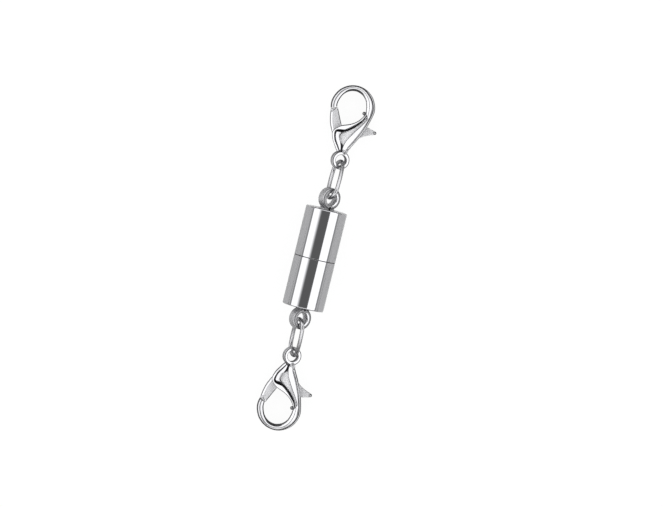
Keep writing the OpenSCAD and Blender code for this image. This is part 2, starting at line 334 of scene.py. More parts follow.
def eased(corners, reach):
    """Sections of corners with each corner rounded by a parabola. It starts at a, reach
    before the corner c, and ends at b, reach after it, each at most 0.45 of that side,
    and its point for u from 0 to 1 is (1 - u)(1 - u)a + 2u(1 - u)c + uub. Reach is one
    number, or one for each corner."""
    corners = np.asarray(corners, float)
    u = np.linspace(0, 1, EASE_STEPS)[:, None]
    ends = []
    for shift in (1, -1):
        side = np.roll(corners, shift, axis=-2) - corners
        length = np.maximum(np.linalg.norm(side, axis=-1, keepdims=True), 1e-9)
        share = np.minimum(np.reshape(reach, (-1, 1)) / length, 0.45)
        ends.append(corners + side * share)
    a, b, c = (part[..., None, :] for part in (*ends, corners))
    points = (1 - u) ** 2 * a + 2 * u * (1 - u) * c + u ** 2 * b
    return points.reshape(*corners.shape[:-2], -1, corners.shape[-1])


def turned_profile(profile, steps):
    """A profile of (radius, height) rows turned about the z axis: the point for a turn t
    is (radius cos t, radius sin t, height)."""
    profile = np.asarray(profile, float)
    t = np.linspace(0, 2 * math.pi, steps, endpoint=False)[:, None]
    radius, height = profile[None, :, 0], profile[None, :, 1]
    return np.stack(np.broadcast_arrays(radius * np.cos(t), radius * np.sin(t), height), axis=2)


def turned_solid(profile, steps):
    """Solid turned about z from a profile that starts and ends close to the axis. Its
    points run round the axis first, then along the profile."""
    return shell(turned_profile(profile, steps).transpose(1, 0, 2))


def turned_ring(corners):
    """Ring about z: corners of (radius, height) for its upper half, from the hole out,
    with the lower half their mirror image."""
    corners = np.asarray(corners, float)
    closed = np.vstack([corners, (corners * [1, -1])[::-1]])
    return shell(turned_profile(eased(closed, RING_EASE), RING_STEPS), close_rows=True)


def ring_share(hole, edge, rim):
    """A share for each point of a ring turned from five corners: hole on the hole's wall,
    edge on the outer edges, rim on the outer wall and nothing on the faces."""
    half = [hole, 0, 0, edge, rim]
    return np.tile(np.repeat(half + half[::-1], EASE_STEPS), RING_STEPS)


def arc(x, y, radius, start, end, steps=8):
    """Rows of an arc about (x, y) from one angle to another, in degrees."""
    t = np.radians(np.linspace(start, end, steps + 1))
    return np.stack([x + radius * np.cos(t), y + radius * np.sin(t)], axis=1)


def move(points, matrix):
    """The points turned and shifted by a matrix."""
    return points @ np.array(matrix.to_3x3()).T + np.array(matrix.translation)


def place(made, matrix, side):
    """Moves a mesh from its own millimetres to its place in the upper half, and for the
    lower half mirrors it across the seam and turns its faces round."""
    points = move(coordinates(made.data) / MM, matrix) * MM
    points[:, 1] *= SIDES[side]
    set_coordinates(made.data, points)
    if SIDES[side] < 0:
        made.data.flip_normals()
    return made


def shade(made, sharp_degrees):
    """Smooth shading, with edges sharp from that angle."""
    made.data.shade_smooth()
    made.data.set_sharp_from_angle(angle=math.radians(sharp_degrees))


def dress(made, body, node, finish):
    """Gives a piece its finish, hangs it under its body's empty and hides its CAD node."""
    made.data.materials.clear()
    made.data.materials.append(finish)
    made.data.polygons.foreach_set("material_index", [0] * len(made.data.polygons))
    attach(made, body)
    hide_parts(node)


# Finishes.

# The marks' dark side as a share of the plate's colour, and of the satin plate's, and the
#  roughness of the painted shade in the grooves.
PLATE_SHADE, SATIN_SHADE = 0.94, 0.86
PAINTED_SHADE_ROUGHNESS = 0.5


def add_node(material, kind, inputs=None, **settings):
    """Adds a node. Each input is a value or another node's output."""
    made = material.node_tree.nodes.new(kind)
    for name, value in settings.items():
        setattr(made, name, value)
    for name, value in (inputs or {}).items():
        if isinstance(value, bpy.types.NodeSocket):
            material.node_tree.links.new(value, made.inputs[name])
        else:
            made.inputs[name].default_value = value
    return made


def new_material(name):
    """A material without nodes."""
    made = bpy.data.materials.new(name)
    made.use_nodes = True
    made.node_tree.nodes.clear()
    return made


def shaded(colour, share):
    """A share of a colour's light."""
    return tuple(share * part for part in colour[:3]) + (1.0,)


def plated_metal(name, colour, roughness, haze, wave_mm, wave, scratch_mm, scratch,
                 satin=None, satin_roughness=0.0, groove=None, grain=(1, 1, 1)):
    """A plated metal. The plating follows the wheel marks under it: long waves of
    wave_mm, and fine marks of scratch_mm. haze is how much the roughness wanders.
    satin names the colour where the wheel did not reach, by the satin attribute, and
    groove the dark colour of the painted shade in grooves, cuts and along edges, by the groove
    attribute."""
    made = new_material(name)
    place_in = add_node(made, "ShaderNodeTexCoord").outputs["Object"]
    waves = add_node(made, "ShaderNodeTexNoise", {
        "Vector": place_in, "Scale": 1 / (wave_mm * MM), "Detail": 2.0}).outputs["Fac"]
    stretched = add_node(made, "ShaderNodeMapping", {"Vector": place_in, "Scale": grain})
    marks = add_node(made, "ShaderNodeTexNoise", {
        "Vector": stretched.outputs["Vector"], "Scale": 1 / (scratch_mm * MM),
        "Detail": 1.0}).outputs["Fac"]
    rough = add_node(made, "ShaderNodeMapRange", {
        "Value": waves, "From Min": 0.3, "From Max": 0.7,
        "To Min": roughness - haze, "To Max": roughness + haze}).outputs["Result"]
    tint = add_node(made, "ShaderNodeMix", {
        0: marks, 6: shaded(colour, PLATE_SHADE), 7: colour}, data_type="RGBA").outputs[2]
    layers = []
    if satin is not None:
        grainy = add_node(made, "ShaderNodeMapRange", {
            "Value": marks, "From Min": 0.35, "From Max": 0.65,
            "To Min": satin_roughness - 0.05, "To Max": satin_roughness + 0.05})
        streaky = add_node(made, "ShaderNodeMix", {
            0: marks, 6: shaded(satin, SATIN_SHADE), 7: satin}, data_type="RGBA")
        layers.append(("satin", grainy.outputs["Result"], streaky.outputs[2]))
    # Painted shade layer, by the groove attribute.
    if groove is not None:
        layers.append(("groove", PAINTED_SHADE_ROUGHNESS, groove))
    for attribute, layer_rough, layer_tint in layers:
        mask = add_node(made, "ShaderNodeAttribute", attribute_name=attribute).outputs["Fac"]
        rough = add_node(made, "ShaderNodeMix", {
            0: mask, 2: rough, 3: layer_rough}).outputs[0]
        tint = add_node(made, "ShaderNodeMix", {
            0: mask, 6: tint, 7: layer_tint}, data_type="RGBA").outputs[2]
    wave_bump = add_node(made, "ShaderNodeBump", {
        "Height": waves, "Strength": 1.0, "Distance": wave * MM})
    mark_bump = add_node(made, "ShaderNodeBump", {
        "Height": marks, "Strength": 1.0, "Distance": scratch * MM,
        "Normal": wave_bump.outputs["Normal"]})
    shader = add_node(made, "ShaderNodeBsdfPrincipled", {
        "Base Color": tint, "Metallic": 1.0, "Roughness": rough,
        "Normal": mark_bump.outputs["Normal"]})
    add_node(made, "ShaderNodeOutputMaterial", {"Surface": shader.outputs["BSDF"]})
    return made


def material(name, **settings):
    """The material of that name, made on its first use."""
    return bpy.data.materials.get(name) or plated_metal(name, **settings)


def barrel_plate():
    # Turned brass cup, buffed and plated: a true mirror with faint haze from the wheel,
    # and satin on the walls of the soldered bail.
    # The groove colour paints shade at the seam, in the notch and on the bail's edges.
    return material(
        "rhodium_plate_on_turned_brass", colour=finish_colour("plate"), roughness=0.07,
        haze=0.015, wave_mm=4.0, wave=0.0006, scratch_mm=0.25, scratch=0.0001,
        satin=finish_colour("lever"), satin_roughness=0.5,
        groove=finish_colour("groove"), grain=(1.0, 0.25, 1.0))


def ring_plate():
    # Plated brass wire: bright, with the draw marks along it drawn coarse enough to show.
    return material(
        "rhodium_plate_on_drawn_wire", colour=finish_colour("wire"), roughness=0.26,
        haze=0.04, wave_mm=0.8, wave=0.002, scratch_mm=0.12, scratch=0.0006)


def claw_plate():
    # Tumbled zinc casting under bright plate: slightly wavy, satin in the recess.
    # The groove colour paints shade in the grooves, the pit and along the casting's edges.
    return material(
        "bright_plate_on_tumbled_casting", colour=finish_colour("plate"), roughness=0.09,
        haze=0.03, wave_mm=1.2, wave=0.0015, scratch_mm=0.16, scratch=0.0002,
        satin=finish_colour("satin"), satin_roughness=0.6, groove=finish_colour("groove"))


def lever_plate():
    # Stamped lever, barely polished: fine streaks along it, brighter on its rounded back.
    # The groove colour paints shade along the gate's edges, in the slit and round the bead's
    # waist.
    return material(
        "bright_plate_on_stamped_lever", colour=finish_colour("plate"), roughness=0.12,
        haze=0.03, wave_mm=0.9, wave=0.002, scratch_mm=0.3, scratch=0.0006,
        satin=finish_colour("lever"), satin_roughness=0.58, groove=finish_colour("groove"),
        grain=(1.0, 0.12, 1.0))


def magnet_plate():
    # Nickel on a sintered magnet: warm grey, satin, with fine grain from the sintering.
    return material(
        "nickel_plate_on_sintered_magnet", colour=finish_colour("magnet"), roughness=0.28,
        haze=0.05, wave_mm=1.5, wave=0.002, scratch_mm=0.15, scratch=0.003)


def pin_wire():
    # Drawn steel wire, cut and left as it was: dull shine with marks along the wire.
    return material(
        "drawn_steel_wire", colour=finish_colour("pin"), roughness=0.3,
        haze=0.06, wave_mm=0.5, wave=0.002, scratch_mm=0.08, scratch=0.002,
        grain=(1.0, 1.0, 0.2))


# Barrels and magnets.

# Steps round the cup and the magnet, the foot's spacing of points and levels, how far
# # the notch between the bail's two ends reaches from the cup, and how dark the rims at the
# seam are painted, as shade in the seam.
CUP_STEPS, MAGNET_STEPS = 320, 128
PRISM_SPACING, PRISM_LEVELS = 0.1, 9
NOTCH_REACH = 0.44
SEAM_PAINTED_SHADE = 0.6


def cup_shell():
    """Cup of the upper half, a profile turned about the barrel's axis, with y along the
    clasp. Also how dark each point is painted: the rims at the seam get painted shade."""
    radius, bore = BARREL_R, BARREL_R - size("cup_wall")
    seam, top = size("seam_gap") / 2, size("half_length")
    floor = top - size("cup_floor")
    r_end, r_seam = size("end_round"), size("seam_round")
    outer = arc(radius - r_end, top - r_end, r_end, 90, 0, 12)
    wall = np.linspace([radius, top - r_end], [radius, seam + r_seam], 14)[1:-1]
    rim = arc(radius - r_seam, seam + r_seam, r_seam, 0, -90, 8)
    r_bore = r_seam / 3
    lip = arc(bore + r_bore, seam + r_bore, r_bore, 270, 180, 5)
    inner = [[bore, floor + 0.05], [bore - 0.05, floor], [AXIS_FLAT, floor]]
    profile = np.vstack([[[AXIS_FLAT, top]], outer, wall, rim, lip, inner])
    at_seam = soft_step(-profile[:, 1], -seam - r_seam, -seam - 0.3 * r_seam)
    points, faces = turned_solid(profile, CUP_STEPS)
    return points[:, [0, 2, 1]], faces, np.repeat(SEAM_PAINTED_SHADE * at_seam, CUP_STEPS)


def prism_shell(outline, height):
    """Prism over an outline: the outline again at even levels of z, from -height / 2 to
    height / 2."""
    outline = even_loop(outline, PRISM_SPACING)
    z = np.linspace(-height / 2, height / 2, PRISM_LEVELS)
    flat = np.broadcast_to(outline, (len(z), *outline.shape))
    up = np.broadcast_to(z[:, None, None], (len(z), len(outline), 1))
    return shell(np.concatenate([flat, up], axis=2))


def make_bail(name):
    """Bail and foot as one casting in the bail's own plane, y along the clasp. The ring's
    face is level near the hole and falls away towards the rim."""
    top, outer, hole = size("half_length"), size("bail_diameter") / 2, size("bail_hole") / 2
    middle, half = top + size("bail_gap") + outer, size("bail_thickness") / 2
    ring, faces = turned_ring([
        [hole, half - 0.17], [hole + 0.07, half - 0.06], [hole + 0.24, half],
        [outer - 0.14, half - 0.015], [outer, half - 0.1],
    ])
    made = make_object(name, [(ring + [0, middle, 0], faces)])
    # Painted shade on the bail's outer edges and a little on its outer wall.
    write_shares(made, ring_share(0.0, 0.8, 0.1), ring_share(0.9, 0.9, 0.9))
    root, waist, neck = size("foot_width") / 2, size("foot_width") * 0.4, outer * 0.62
    foot = prism_shell([
        [-root, top - 0.3], [root, top - 0.3], [root, top + 0.06], [waist, top + 0.3],
        [neck, middle - outer * 0.72], [-neck, middle - outer * 0.72], [-waist, top + 0.3],
        [-root, top + 0.06],
    ], size("bail_thickness") * 0.86)
    joined(made, make_object("foot", [foot]))
    notch, notch_top = size("notch_width") / 2, top + NOTCH_REACH
    # The notch's walls are painted black, as shade in the notch.
    return cut(made, [[-notch, top], [notch, top], [notch, notch_top], [-notch, notch_top]],
               size("bail_thickness") * 2, dark=1.0)


def to_barrel():
    """Matrix from the barrel's own axes, x across, y along and z up, to its place."""
    return Matrix.Translation((BARREL_X, 0, BARREL_Z))


class CLASP_OT_barrels(bpy.types.Operator):
    """Makes both barrel halves, each a cup with its soldered bail"""

    bl_idname = "clasp.barrels"
    bl_label = "Barrel halves"

    def execute(self, context):
        *surface, dark = cup_shell()
        for side in SIDES:
            cup = make_object(f"barrel_half_{side}", [surface])
            write_shares(cup, dark)
            place(cup, to_barrel(), side)
            bail = make_bail(f"bail_{side}")
            turn = Matrix.Rotation(math.radians(BAIL_TURN_DEG), 4, "Y")
            place(bail, to_barrel() @ turn, side)
            joined(cup, bail)
            shade(cup, 50)
            dress(cup, f"{side}_half", f"barrel_{side}", barrel_plate())
        return {"FINISHED"}


class CLASP_OT_magnets(bpy.types.Operator):
    """Makes the two round magnets with their small chamfers"""

    bl_idname = "clasp.magnets"
    bl_label = "Magnets"

    def execute(self, context):
        radius = (MAGNET_HIGH[0] - MAGNET_LOW[0]) / 2
        near, far, chamfer = MAGNET_LOW[1], MAGNET_HIGH[1], 0.18
        profile = [[AXIS_FLAT, near], [radius - chamfer, near], [radius - 0.04, near + 0.1],
                   [radius, near + chamfer], [radius, far - 0.05],
                   [radius - 0.05, far], [AXIS_FLAT, far]]
        for side in SIDES:
            points, faces = turned_solid(profile, MAGNET_STEPS)
            made = make_object(f"magnet_disc_{side}", [(points[:, [0, 2, 1]], faces)])
            place(made, to_barrel(), side)
            shade(made, 25)
            dress(made, f"{side}_half", f"magnet_{side}", magnet_plate())
        return {"FINISHED"}


# Jump rings.

# Steps round the wire, along each round end and along each flat side of the oval.
WIRE_STEPS, END_STEPS, SIDE_STEPS = 24, 56, 40


def ring_points():
    """Wire of the long jump ring. Its middle line is an oval of four arcs that meet
    smoothly: two round ends, of radius e about (0, +-c), and two flat sides, of radius
    s = (hh + cc - ee) / 2(h - e) about (+-(s - h), 0), where h is half the oval's width.
    The wire is a circle carried along it."""
    half_l = (size("ring_length") - size("wire")) / 2
    half_w = (size("ring_width") - size("wire")) / 2
    end = size("ring_end")
    centre = half_l - end
    side = (half_w ** 2 + centre ** 2 - end ** 2) / (2 * (half_w - end))
    tilt = math.degrees(math.atan2(centre, side - half_w))
    middle = np.vstack([
        arc(0, centre, end, tilt, 180 - tilt, END_STEPS)[:-1],
        arc(side - half_w, 0, side, 180 - tilt, 180 + tilt, SIDE_STEPS)[:-1],
        arc(0, -centre, end, 180 + tilt, 360 - tilt, END_STEPS)[:-1],
        arc(half_w - side, 0, side, -tilt, tilt, SIDE_STEPS)[:-1],
    ])
    along = np.roll(middle, -1, axis=0) - np.roll(middle, 1, axis=0)
    along /= np.linalg.norm(along, axis=1, keepdims=True)
    across = np.stack([-along[:, 1], along[:, 0]], axis=1)
    a = np.linspace(0, 2 * math.pi, WIRE_STEPS, endpoint=False)
    r = size("wire") / 2
    flat = middle[:, None, :] + across[:, None, :] * (r * np.cos(a))[None, :, None]
    up = np.broadcast_to(r * np.sin(a), (len(middle), WIRE_STEPS))
    return np.concatenate([flat, up[:, :, None]], axis=2)


def ring_matrix():
    """Where the jump ring hangs: through the middle of both rims that it links."""
    bail_rim = (size("bail_diameter") - size("bail_hole")) / 2
    eyelet_rim = (size("eyelet_diameter") - size("eyelet_hole")) / 2
    path = size("ring_length") - size("wire")
    near = size("wire") / 2 + size("bail_slack") + bail_rim / 2
    far = size("wire") / 2 + size("eyelet_slack") + eyelet_rim / 2
    slope = math.asin((BARREL_Z - CLAW_Z) / (path - near - far))
    start = (size("half_length") + size("bail_gap") + size("bail_diameter") / 2
             + (size("bail_diameter") + size("bail_hole")) / 4)
    return (Matrix.Translation((EYELET_X, start, BARREL_Z))
            @ Matrix.Rotation(-slope, 4, "X")
            @ Matrix.Rotation(math.radians(-RING_TURN_DEG), 4, "Y")
            @ Matrix.Translation((0, path / 2 - near, 0)))


class CLASP_OT_jump_rings(bpy.types.Operator):
    """Makes the two long jump rings of round wire"""

    bl_idname = "clasp.jump_rings"
    bl_label = "Jump rings"

    def execute(self, context):
        for side in SIDES:
            made = make_object(f"oval_ring_{side}", [shell(ring_points(), close_rows=True)])
            place(made, ring_matrix(), side)
            shade(made, 60)
            dress(made, f"{side}_half", f"jump_ring_{side}", ring_plate())
        return {"FINISHED"}


# Claws.

# Rows of the claw are in millimetres on its own axes, for a claw 6.6 wide and 12.7 long
# with an eyelet of 2.75: the eyelet's centre at 0, y towards the hook, x towards the
# thumb tab.
DRAWN_WIDTH, DRAWN_LENGTH, DRAWN_EYELET = 6.6, 12.7, 2.75
# Hook, from its tip over the top, and the back limb down to the eyelet. Columns: the
# hook's angle or the limb's x and y, width, thickness, where the crest and the fine line
# stand as shares of the width from the inner edge, the inner bevel's width and slope, and
# the fine line's width.
HOOK_ANGLES = [
    [210, 0.92, 1.80, 0.88, 0.48, 0.12, 0.78, 0.10],
    [185, 0.97, 1.80, 0.88, 0.48, 0.12, 0.78, 0.10],
    [165, 0.99, 1.84, 0.88, 0.48, 0.12, 0.78, 0.10],
    [140, 0.92, 1.88, 0.88, 0.48, 0.13, 0.78, 0.10],
    [115, 0.86, 1.92, 0.84, 0.55, 0.26, 0.68, 0.07],
    [90, 0.88, 1.96, 0.80, 0.55, 0.30, 0.68, 0.04],
    [65, 1.00, 2.08, 0.76, 0.48, 0.26, 0.68, 0.04],
    [40, 1.16, 2.24, 0.71, 0.38, 0.18, 0.72, 0.06],
    [15, 1.30, 2.42, 0.65, 0.34, 0.14, 0.78, 0.07],
    [-5, 1.24, 2.55, 0.59, 0.30, 0.12, 1.00, 0.07],
]
LIMB_ROWS = [
    [2.71, 6.86, 0.72, 2.68, 0.50, 0.12, 0.08, 2.0, 0.05],
    [2.28, 5.68, 0.90, 2.84, 0.68, 0.12, 0.05, 2.6, 0.04],
    [1.67, 4.52, 1.18, 2.86, 0.72, 0.10, 0.05, 2.6, 0.04],
    [1.17, 3.59, 1.28, 2.82, 0.72, 0.09, 0.05, 2.6, 0.04],
    [0.72, 2.77, 1.30, 2.66, 0.71, 0.09, 0.05, 2.6, 0.04],
    [0.42, 1.96, 1.10, 2.40, 0.70, 0.10, 0.05, 2.6, 0.04],
    [0.41, 1.45, 0.86, 1.85, 0.66, 0.12, 0.05, 2.6, 0.04],
    [0.26, 1.00, 0.72, 0.90, 0.64, 0.14, 0.05, 2.6, 0.04],
]
# Front of the claw from the hook's opening to the limb, along the rim. Columns: x and y
# of the rim's outer edge, of its crest, of the groove's far edge, of the ledge's inner
# edge and of the panel's edge under the limb, then the crest's height.
FRONT_ROWS = [
    [2.01, 7.67, 2.30, 7.59, 2.34, 7.57, 2.38, 7.56, 2.56, 7.80, 1.06],
    [1.91, 7.25, 2.12, 7.21, 2.25, 7.14, 2.33, 7.10, 2.76, 6.97, 1.22],
    [1.58, 6.69, 1.83, 6.60, 1.97, 6.50, 2.03, 6.46, 2.61, 6.21, 1.36],
    [1.15, 6.19, 1.41, 6.11, 1.60, 5.95, 1.67, 5.90, 2.31, 5.45, 1.45],
    [0.62, 5.79, 0.87, 5.54, 1.07, 5.36, 1.13, 5.31, 1.84, 4.76, 1.48],
    [0.01, 5.47, 0.23, 4.99, 0.43, 4.80, 0.49, 4.75, 1.26, 3.98, 1.49],
    [-0.61, 5.24, -0.36, 4.60, -0.20, 4.36, -0.15, 4.27, 0.82, 3.39, 1.50],
    [-1.13, 5.00, -1.01, 4.49, -0.74, 4.26, -0.54, 4.13, 0.61, 3.04, 1.50],
    [-1.66, 4.58, -1.50, 4.32, -1.25, 4.14, -0.79, 3.98, 0.43, 2.80, 1.49],
    [-2.03, 4.10, -1.74, 3.97, -1.52, 3.94, -0.93, 3.76, 0.32, 2.63, 1.48],
    [-2.10, 3.63, -1.70, 3.45, -1.55, 3.46, -0.93, 3.43, 0.27, 2.47, 1.46],
    [-1.80, 2.74, -1.47, 2.80, -1.34, 2.83, -0.76, 2.98, 0.24, 2.27, 1.41],
    [-1.44, 2.15, -1.14, 2.26, -1.02, 2.31, -0.56, 2.54, 0.23, 2.02, 1.36],
    [-1.12, 1.64, -0.82, 1.80, -0.71, 1.86, -0.39, 2.08, 0.31, 1.80, 1.27],
    [-0.77, 1.15, -0.54, 1.36, -0.46, 1.44, -0.30, 1.62, 0.42, 1.50, 1.14],
    [-0.62, 0.95, -0.44, 1.06, -0.38, 1.12, -0.26, 1.24, 0.30, 1.20, 0.86],
]
# Heights of the groove's floor, the ledge's outer edge and the panel, as shares of the
# rim's crest, and the slope of the polished faces.
GROOVE_SHARE, LEDGE_SHARE, PANEL_SHARE = 0.56, 0.66, 0.61
FACE_SLOPE = math.tan(math.radians(21))
# Slot that the lever swings in, and the lever: the gate's back, the thumb tab's
# underside, its top, the gate's inner edge, the chamfer on its back as distance in and
# drop, the slit near the gate's end and its depth, the gap to the hook's tip, and the
# thumb tab's tip and half its height. Then the nub inside the hook, the points for each
# row of the lever's edges and the steps round the small turned forms.
SLOT_OUTLINE = [
    [-4.0, 2.15], [3.7, 2.15], [3.7, 6.01], [2.75, 5.86], [1.90, 5.51], [1.0, 5.21],
    [0.45, 5.31], [0.45, 6.61], [-4.0, 6.61],
]
GATE_BACK = [[-3.14, 7.14], [-2.97, 5.92], [-2.62, 4.71], [-1.85, 3.21]]
TAB_UNDER = [[-0.80, 2.60], [0.90, 3.08], [1.90, 3.73], [2.55, 4.21], [3.40, 4.63]]
TAB_TOP = [[3.30, 5.51], [2.75, 5.63], [1.90, 5.28], [0.20, 4.75], [-0.75, 4.79]]
GATE_INNER = [[-1.02, 5.13], [-2.20, 7.59]]
BACK_CHAMFER = [
    [0, 0.42], [0.02, 0.33], [0.05, 0.26], [0.10, 0.20], [0.16, 0.155], [0.25, 0.113],
    [0.34, 0.072], [0.42, 0.035], [0.50, 0],
]
SLIT_OUTLINE = [[-2.78, 6.94], [-2.72, 6.88], [-2.36, 7.30], [-2.42, 7.36]]
SLIT_DEPTH = 0.15
GATE_GAP = 0.1
TAB_TIP, TAB_HALF_END = [4.05, 5.09], 0.25
NUB_PLACE = [1.86, 7.55]
EDGE_STEPS, NUB_STEPS, BEAD_STEPS, PIN_STEPS = 8, 32, 48, 96


def claw_rows(rows):
    """Rows on the drawn claw, stretched to the claw's own width and length."""
    rows = np.array(rows, float)
    rows[:, 0] *= size("claw_width") / DRAWN_WIDTH
    rows[:, 1] *= size("claw_length") / DRAWN_LENGTH
    return rows


def hook_rows():
    """Hook as rows of x and y, and the other columns. For an angle t, x is r cos t and y
    is r sin t above the hook's centre, where r is half of the hook's width less the
    rail's."""
    table = np.array(HOOK_ANGLES, float)
    centre_y = DRAWN_LENGTH - DRAWN_EYELET / 2 - DRAWN_WIDTH / 2
    reach = (DRAWN_WIDTH - table[:, 1]) / 2
    t = np.radians(table[:, 0])
    return np.column_stack([reach * np.cos(t), centre_y + reach * np.sin(t), table[:, 1:]])


def both_faces(upper):
    """Sections closed with their mirror image below z = 0."""
    return np.concatenate([upper, (upper * [1, 1, -1])[:, ::-1]], axis=1)


def both_shares(*parts):
    """Shares for the points of such sections, in their points' order."""
    return [np.concatenate([part, part[:, ::-1]], axis=1).ravel() for part in parts]


def rail_shell():
    """Hook and limb: a section carried along a path, so that its point (across, up) lies
    at the path's point + outward * (across - width / 2), at that height. The section is,
    from its inner edge: a bevel, a sloping face with a fine level line in it, a narrow
    level crest, a fine channel, a face that falls outwards and a bevel. Also how dark each
    point is painted and how satin: painted shade in the channel, most of all on the hook,
    and satin in the corner at the eyelet."""
    rows = smooth_rows(claw_rows(np.vstack([hook_rows(), LIMB_ROWS])), ROW_STEPS)
    along = np.gradient(rows[:, :2], axis=0)
    along /= np.linalg.norm(along, axis=1, keepdims=True)
    outward = np.stack([-along[:, 1], along[:, 0]], axis=1)
    width, thickness, crest_share, line_share, bevel, slope, land = rows[:, 2:].T
    top = thickness / 2
    right = np.minimum(soft_step(rows[:, 0], 0.2, 2.4) + soft_step(-rows[:, 1], -6.0, -5.0), 1)
    edge = 0.02 + 0.2 * right
    ridge_end = width - edge - 0.15
    crest = np.minimum(crest_share * width, ridge_end - 0.06)
    line = np.maximum(line_share * width, bevel + 0.06)
    inner_top = top - FACE_SLOPE * (crest - bevel - land - 0.04)
    line_top = inner_top + FACE_SLOPE * (line - bevel - 0.04)
    across = np.stack([
        0 * width, 0.08 - 0.04 * right, bevel + 0.04, line, line + land, crest, ridge_end,
        width - edge - 0.12, width - edge - 0.04 * right, width - 0.6 * edge,
        width - 0.3 * edge, width], axis=1)
    up = np.stack([
        0.4 * inner_top, inner_top - slope * bevel, inner_top, line_top, line_top, top, top,
        top - 0.07, top - 0.16 + 0.09 * right, top - 0.18 + 0.08 * right, top - 0.22,
        0.4 * inner_top], axis=1)
    aside = (across - width[:, None] / 2)[:, :, None]
    flat = rows[:, None, :2] + outward[:, None, :] * aside
    reach = np.array([0.3, 0.06, 0.045, 0.03, 0.03, 0.04, 0.03, 0.03, 0.03, 0.03, 0.06, 0.3])
    section = both_faces(np.concatenate([flat, up[:, :, None]], axis=2))
    # Painted shade: dark in the channel, less beside the eyelet, on the inner bevel's edge and
    # on the fine line.
    dark = np.zeros(across.shape)
    dark[:, 7:9] = (1 - 0.55 * soft_step(-rows[:, 1], -6.5, -5.0))[:, None]
    dark[:, 1] = 0.95 - 0.75 * right
    dark[:, 3:5] = 0.3 * (1 - right)[:, None]
    satin = np.repeat(soft_step(-rows[:, 1:2], -1.9, -1.5), across.shape[1], axis=1)
    satin[:, 2:4] += 0.5 * (right * soft_step(rows[:, 1], 6.0, 7.5))[:, None]
    shares = both_shares(*(np.repeat(part, EASE_STEPS, axis=1) for part in (dark, satin)))
    return shell(eased(section, np.append(reach, reach[::-1]))), shares


def front_shell():
    """Rim, groove, ledge and panel in one strip. Each section runs from the rim's outer
    edge to under the limb: along the four spans between the five lines of FRONT_ROWS.
    The groove, the ledge and the panel lie at their shares of the crest's height, and the
    shares rise near the hook. Polished faces rise by the same slope to the crest. A
    station is a place along the rim, counted in rows of the table."""
    rows = smooth_rows(claw_rows(FRONT_ROWS), ROW_STEPS)
    outer, crest, groove, ledge, panel = (rows[:, 2 * i:2 * i + 2] for i in range(5))
    top = rows[:, 10]
    station = np.arange(len(rows)) / ROW_STEPS
    rise = 0.2 * soft_step(-station, -4.5, -1.0)
    floor, flat = top * (GROOVE_SHARE + rise), top * (PANEL_SHARE + rise)
    low = top * (LEDGE_SHARE + rise + 0.17 * soft_step(station, 6.0, 8.0))

    def spot(start, end, distance, height):
        """The point at a distance from one line towards the next, at a height."""
        span = end - start
        length = np.linalg.norm(span, axis=1, keepdims=True)
        share = np.minimum(distance / length, 0.9)
        return np.column_stack([start + span * share, height])

    rim_width = np.linalg.norm(crest - outer, axis=1)
    ledge_width = np.linalg.norm(ledge - groove, axis=1)
    gap = np.linalg.norm(groove - crest, axis=1, keepdims=True)
    rim_top = top - FACE_SLOPE * (rim_width - 0.1)
    corner = soft_step(station, 5.4, 7.0) * soft_step(-station, -12.0, -8.0)
    near = 0.05 + 0.05 * corner[:, None]
    ledge_top = low + FACE_SLOPE * ledge_width
    section = np.stack([
        spot(outer, crest, 0.0, 0.4 * rim_top), spot(outer, crest, 0.03, rim_top - 0.1),
        spot(outer, crest, 0.1, rim_top), spot(crest, outer, 0.0, top),
        spot(crest, groove, np.minimum(0.05, 0.25 * gap), top - 0.25),
        spot(crest, groove, 0.35 * gap, floor), spot(crest, groove, 0.8 * gap, floor),
        spot(groove, ledge, 0.0, low), spot(ledge, groove, 0.0, ledge_top),
        spot(ledge, panel, 0.35 * near, flat + 0.65 * (ledge_top - flat)),
        spot(ledge, panel, near, flat), spot(ledge, panel, near + 0.09, flat),
        spot(panel, ledge, 0.0, flat),
    ], axis=1)
    reach = np.array([0.3] + [size("groove_edge")] * 12)
    return shell(eased(both_faces(section), np.append(reach, reach[::-1])))


def front_shares():
    """For each point of the front's shell, how dark it is painted, most in the groove, and how
    far it lies on the satin panel. The panel is painted darker into the groove's pit beside the
    eyelet, as shade in the pit, and the rim's outer edge and the ledge's inner edge get a
    little painted shade."""
    station = np.arange((len(FRONT_ROWS) - 1) * ROW_STEPS + 1)[:, None] / ROW_STEPS
    dark = np.repeat([0, 0, 0, 0, 0.9, 1, 1, 0.1, 0, 0, 0, 0, 0], EASE_STEPS)
    satin = np.repeat([0] * 10 + [1, 1, 1], EASE_STEPS)
    ledge_edge_shade = np.repeat([0] * 9 + [1, 1, 0, 0], EASE_STEPS)
    outer_edge_shade = np.repeat([0, 1] + [0] * 11, EASE_STEPS)
    outer_edge_shade = outer_edge_shade * (0.3 + 0.4 * soft_step(station, 6.0, 8.0))
    along_ledge = soft_step(station, 5.5, 7.0) * soft_step(-station, -12.0, -10.0)
    pit_shade = soft_step(station, 10.9, 12.2) * satin
    dark = np.maximum.reduce(np.broadcast_arrays(
        dark, pit_shade, ledge_edge_shade * along_ledge, outer_edge_shade))
    return both_shares(dark, np.broadcast_to(satin, dark.shape))


def nub_shell():
    """Nub: a half circle of (radius, height) turned about z."""
    x, y = claw_rows([NUB_PLACE])[0]
    points, faces = turned_solid(arc(0, 0, size("nub") / 2, -89, 89, 24), NUB_STEPS)
    return points + [x, y, 0], faces


